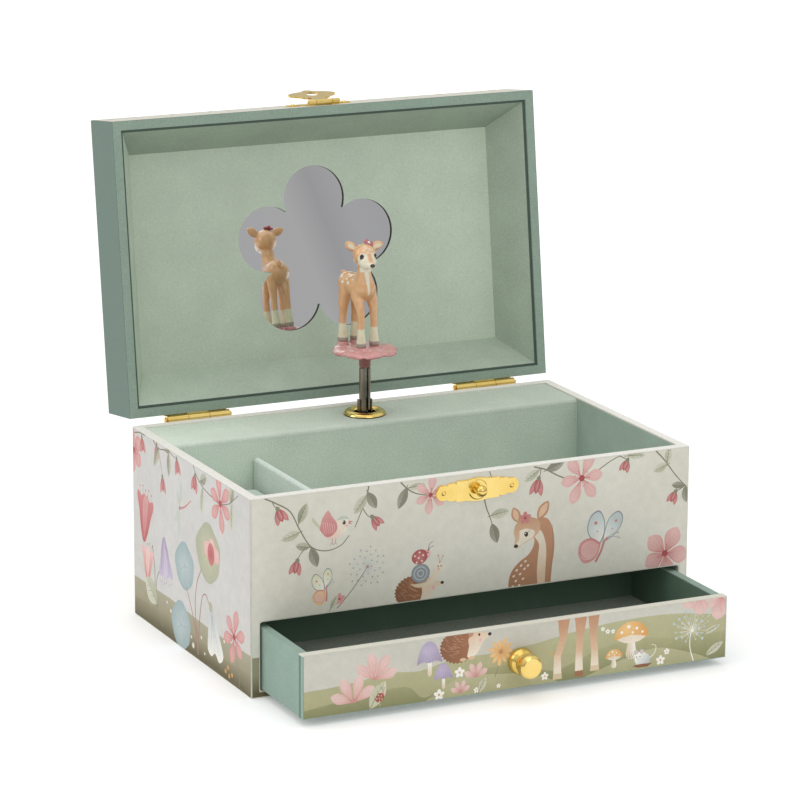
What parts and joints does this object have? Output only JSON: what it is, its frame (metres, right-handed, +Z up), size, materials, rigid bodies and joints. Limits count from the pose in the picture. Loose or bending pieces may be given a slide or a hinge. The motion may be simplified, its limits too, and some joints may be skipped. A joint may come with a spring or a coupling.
{
  "type": "musical jewellery box",
  "caption": "Paper-covered jewellery box with a hinged mirrored lid, lined tray, drawer, brass clasp and a wound movement that turns a folding fawn figure.",
  "frame": {"origin": "centre of the underside of the box", "axes": "+Z up, +Y to the back, -Y the side with the drawer and clasp"},
  "size_m": [0.18, 0.2009, 0.1928],
  "materials": {
    "outer_board": "printed paper over board",
    "lining_board": "sage green paper over board",
    "felt": "flocked felt",
    "cushion": "padded cloth",
    "mirror": "polished",
    "brass": "polished",
    "steel": "plain",
    "movement_metal": "plated",
    "movement_brass": "satin",
    "governor_plastic": "moulded",
    "petals": "painted",
    "fawn_paint": "painted"
  },
  "bodies": {
    "box": {"bottom_board": "outer_board", "front_wall": "outer_board", "back_wall": "outer_board", "left_wall": "outer_board", "right_wall": "outer_board", "tray_floor": "lining_board", "tray_felt": "felt", "mechanism_partition": "lining_board", "mechanism_deck": "lining_board", "tray_divider": "lining_board", "ring_cushion": "cushion", "spindle_eyelet": "brass", "post_yoke": "steel", "clasp_plate": "brass", "clasp_stud": "brass", "box_nails": "brass", "box_hinge_leaves": "brass", "hinge_pins": "brass", "bed_plate": "movement_metal", "comb": "steel", "movement_screws": "steel", "spring_housing": "movement_metal", "governor_bracket": "movement_metal"},
    "lid": {"lid_top": "outer_board", "lid_rail_left": "outer_board", "lid_rail_right": "outer_board", "lid_rail_front": "outer_board", "lid_rail_back": "outer_board", "lid_lining_left": "lining_board", "lid_lining_right": "lining_board", "lid_lining_front": "lining_board", "lid_lining_back": "lining_board", "mirror_panel": "lining_board", "flower_mirror": "mirror", "hasp_plate": "brass", "hasp_pin": "brass", "lid_nails": "brass", "lid_hinge_leaves": "brass"},
    "hasp": {"hasp_flap": "brass"},
    "drawer": {"drawer_front": "outer_board", "drawer_left": "lining_board", "drawer_right": "lining_board", "drawer_back": "lining_board", "drawer_floor": "lining_board", "drawer_felt": "felt", "drawer_knob": "brass", "knob_screw": "steel"},
    "post": {"post_sleeve": "steel", "drive_spring": "steel"},
    "figure": {"figure_stem": "steel", "flower_stand": "petals", "fawn": "fawn_paint", "hair_flower": "petals"},
    "cylinder": {"pin_cylinder": "movement_brass", "cylinder_arbor": "movement_brass"},
    "winder": {"winding_arbor": "movement_brass", "winding_key": "movement_metal"},
    "spindle": {"movement_spindle": "steel"},
    "governor": {"governor": "governor_plastic"}
  },
  "joints": [
    {"name": "lid_hinge", "type": "hinge", "parent": "box", "child": "lid", "pos_m": [0, 0.0591, 0.07515], "axis": [1, 0, 0], "range_deg": [0, 97.5]},
    {"name": "hasp_hinge", "type": "hinge", "parent": "lid", "child": "hasp", "pos_m": [0.0006, 0.07936, 0.1911], "axis": [1, 0, 0], "range_deg": [0, 168]},
    {"name": "drawer_slide", "type": "slide", "parent": "box", "child": "drawer", "axis": [0, -1, 0], "range_m": [-0.037, 0.014]},
    {"name": "figure_fold", "type": "hinge", "parent": "box", "child": "post", "pos_m": [0, 0.0395, 0.0795], "axis": [1, 0, 0], "range_deg": [0, 95.5], "deforming": ["drive_spring"]},
    {"name": "figure_spin", "type": "hinge", "parent": "post", "child": "figure", "pos_m": [0, 0.0395, 0.09], "axis": [0, 0, 1], "continuous": true},
    {"name": "cylinder_spin", "type": "hinge", "parent": "box", "child": "cylinder", "pos_m": [0, 0.0395, 0.056], "axis": [1, 0, 0], "continuous": true},
    {"name": "winder_spin", "type": "hinge", "parent": "box", "child": "winder", "pos_m": [0.0226, 0.05, 0.056], "axis": [0, 1, 0], "continuous": true},
    {"name": "spindle_spin", "type": "hinge", "parent": "box", "child": "spindle", "pos_m": [0, 0.0395, 0.07], "axis": [0, 0, 1], "continuous": true},
    {"name": "governor_spin", "type": "hinge", "parent": "box", "child": "governor", "pos_m": [-0.04, 0.0395, 0.065], "axis": [1, 0, 0], "continuous": true}
  ],
  "couplings": [
    {"joint": "figure_fold", "follows": "lid_hinge", "ratio": 0.974},
    {"joint": "figure_spin", "follows": "cylinder_spin", "ratio": 1},
    {"joint": "spindle_spin", "follows": "cylinder_spin", "ratio": 1},
    {"joint": "winder_spin", "follows": "cylinder_spin", "ratio": 0.5},
    {"joint": "governor_spin", "follows": "cylinder_spin", "ratio": -3}
  ]
}
